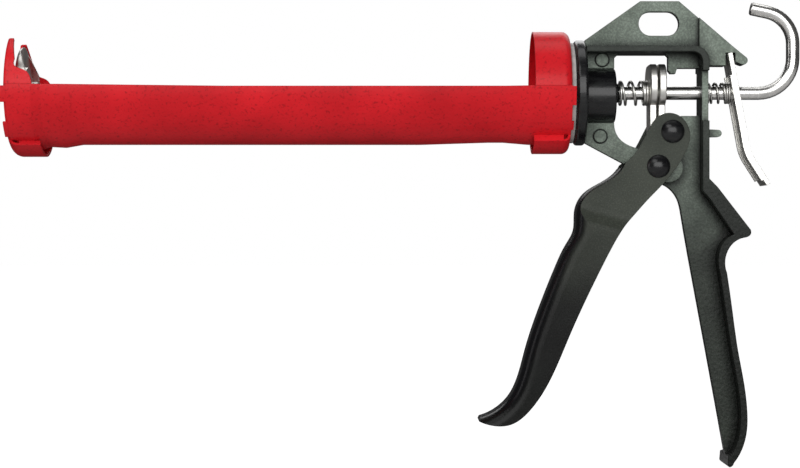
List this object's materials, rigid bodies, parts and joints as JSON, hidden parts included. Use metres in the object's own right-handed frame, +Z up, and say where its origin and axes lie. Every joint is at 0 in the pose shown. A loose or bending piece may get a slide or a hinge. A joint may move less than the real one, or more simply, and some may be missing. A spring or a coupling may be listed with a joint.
{
  "type": "caulking gun",
  "caption": "Caulking gun with a rotating half-round cartridge cradle, cast frame and handle, squeeze trigger, hooked push rod and thumb release.",
  "frame": {"origin": "where the push rod's axis meets the outer face of the cradle's front cap", "axes": "+X along the push rod towards its hook, +Z up, away from the handle; Y across the gun"},
  "size_m": [0.3701, 0.0582, 0.2171],
  "materials": {
    "red_enamel": "glossy enamel",
    "grey_nylon": "satin",
    "black_enamel": "glossy enamel",
    "hammered_grey": "hammered metallic enamel",
    "satin_black": "satin powder coat",
    "rivet_black": "glossy black oxide",
    "zinc_plate": "bright zinc",
    "spring_steel": "drawn wire",
    "rod_chrome": "bright plated"
  },
  "bodies": {
    "frame": {"frame_casting": "hammered_grey", "swivel_hub": "black_enamel", "hub_rivets": "hammered_grey", "swivel_retaining_ring": "spring_steel"},
    "cradle": {"cradle_trough": "red_enamel", "front_cap": "red_enamel", "rear_cap": "red_enamel", "thrust_washer": "grey_nylon"},
    "trigger": {"trigger_lever": "satin_black", "pivot_rivet": "rivet_black", "pusher_rivet": "rivet_black"},
    "drive": {"drive_plate_front": "zinc_plate", "drive_plate_rear": "zinc_plate", "drive_spring": "spring_steel"},
    "release": {"release_lever": "zinc_plate", "release_spring": "spring_steel"},
    "rod": {"push_rod": "rod_chrome", "piston_plate": "zinc_plate", "piston_washer": "zinc_plate", "piston_nut": "zinc_plate"}
  },
  "joints": [
    {"name": "cradle_swivel", "type": "hinge", "parent": "frame", "child": "cradle", "pos_m": [0.2596, 0, 0], "axis": [1, 0, 0], "continuous": true},
    {"name": "trigger_squeeze", "type": "hinge", "parent": "frame", "child": "trigger", "pos_m": [0.3008, 0, -0.0346], "axis": [0, -1, 0], "range_deg": [0, 26], "stiffness_Nm_per_rad": 0.9, "springref_deg": -20.05},
    {"name": "drive_slide", "type": "slide", "parent": "frame", "child": "drive", "axis": [-1, 0, 0], "range_m": [0, 0.0085], "deforming": ["drive_spring"]},
    {"name": "release_press", "type": "hinge", "parent": "frame", "child": "release", "pos_m": [0.3345, 0, 0.017], "axis": [0, 1, 0], "range_deg": [0, 12], "stiffness_Nm_per_rad": 0.12, "springref_deg": -22.92, "deforming": ["release_spring"]},
    {"name": "rod_slide", "type": "slide", "parent": "frame", "child": "rod", "axis": [1, 0, 0], "range_m": [0, 0.235]}
  ],
  "couplings": [
    {"joint": "drive_slide", "follows": "trigger_squeeze", "m_per_rad": 0.0172}
  ]
}
